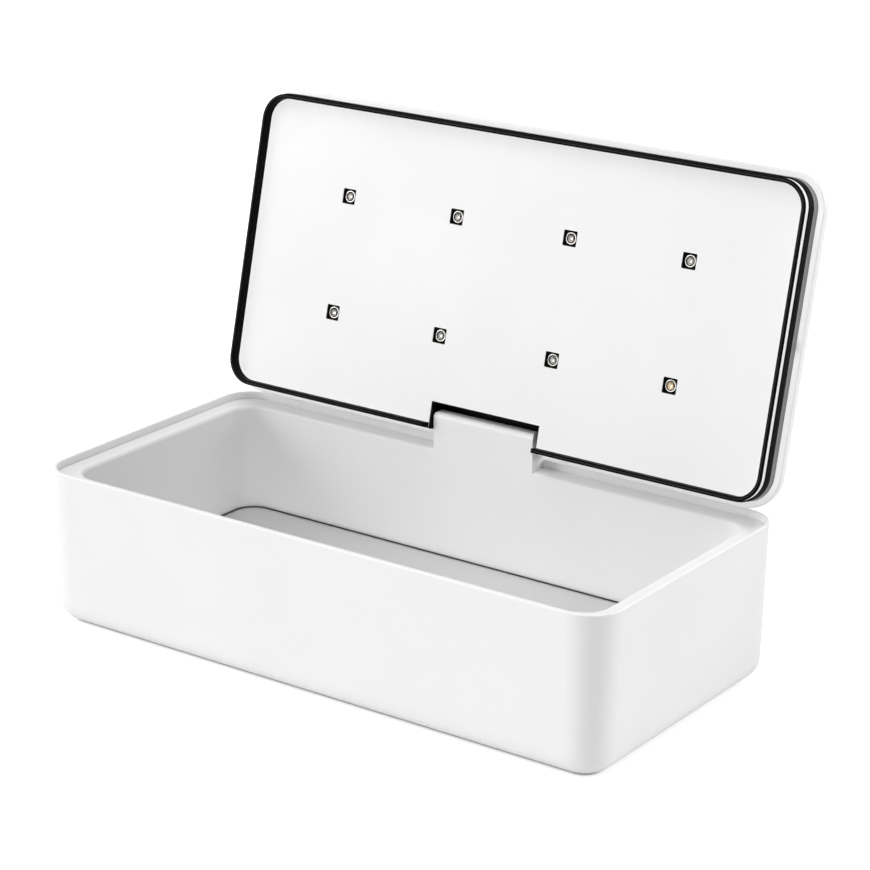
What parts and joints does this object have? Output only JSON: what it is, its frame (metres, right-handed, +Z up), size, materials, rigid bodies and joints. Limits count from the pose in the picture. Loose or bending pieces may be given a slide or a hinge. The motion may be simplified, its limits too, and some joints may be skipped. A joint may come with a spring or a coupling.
{
  "type": "UV-C sanitiser box for phones",
  "caption": "Hinged white box that bathes a phone in ultraviolet light: a deep chamber in the base, a flat lid with rows of small UV lamps, a black lip seal and a push button.",
  "frame": {"origin": "centre of the base's flat underside; the rubber feet stand 0.5 mm below it", "axes": "+X along the case to the right seen from the front, +Y to the hinge side, +Z up"},
  "size_m": [0.23, 0.1389, 0.1684],
  "materials": {
    "white_shell": "moulded white, satin gloss",
    "white_inside": "moulded white, fine matte",
    "reflector": "fine brushed, matte reflector sheet",
    "black_rubber": "smooth black silicone",
    "grey_rubber": "soft light grey",
    "grey_trim": "moulded mid grey, satin",
    "circuit_board": "green solder mask",
    "black_board": "black solder mask",
    "plated_steel": "bright nickel plate",
    "screw_steel": "zinc plated",
    "black_plastic": "moulded black",
    "black_lead": "black insulated wire",
    "lamp_package": "silver-coated ceramic package",
    "quartz": "clear, over an amber-toned chip",
    "frosted_ring": "translucent frosted"
  },
  "bodies": {
    "base": {"base_shell": "white_shell", "inner_tub": "white_inside", "floor_plate": "reflector", "floor_gasket": "black_rubber", "power_board": "circuit_board", "usb_socket": "plated_steel", "board_screws": "screw_steel", "lid_sensor": "black_plastic", "sensor_lead": "black_lead", "hinge_lead": "black_lead", "feet": "grey_rubber", "bottom_screws": "screw_steel"},
    "lid": {"lid_shell": "white_shell", "lid_panel": "white_inside", "lip_seal": "black_rubber", "root_gasket": "black_rubber", "rim_trim": "grey_trim", "slot_liner": "black_plastic", "left_hinge_pin": "plated_steel", "right_hinge_pin": "plated_steel", "rear_lamp_board": "black_board", "front_lamp_board": "black_board", "uv_lamp_1": "lamp_package", "uv_lamp_2": "lamp_package", "uv_lamp_3": "lamp_package", "uv_lamp_4": "lamp_package", "uv_lamp_5": "lamp_package", "uv_lamp_6": "lamp_package", "uv_lamp_7": "lamp_package", "uv_lamp_8": "lamp_package", "lamp_lens_1": "quartz", "lamp_lens_2": "quartz", "lamp_lens_3": "quartz", "lamp_lens_4": "quartz", "lamp_lens_5": "quartz", "lamp_lens_6": "quartz", "lamp_lens_7": "quartz", "lamp_lens_8": "quartz", "control_board": "circuit_board", "control_screws": "screw_steel", "switch_body": "black_plastic", "indicator_ring": "frosted_ring", "sensor_magnet": "plated_steel", "lid_lead": "black_lead", "strip_lead": "black_lead", "control_lead": "black_lead"},
    "button": {"power_button": "white_shell", "switch_stem": "black_plastic"}
  },
  "joints": [
    {"name": "lid_hinge", "type": "hinge", "parent": "base", "child": "lid", "pos_m": [0, 0.0517, 0.0628], "axis": [-1, 0, 0], "range_deg": [-103.5, 0]},
    {"name": "button_press", "type": "slide", "parent": "lid", "child": "button", "axis": [0, -0.9724, 0.2334], "range_m": [0, 0.0006], "stiffness_N_per_m": 3000}
  ]
}
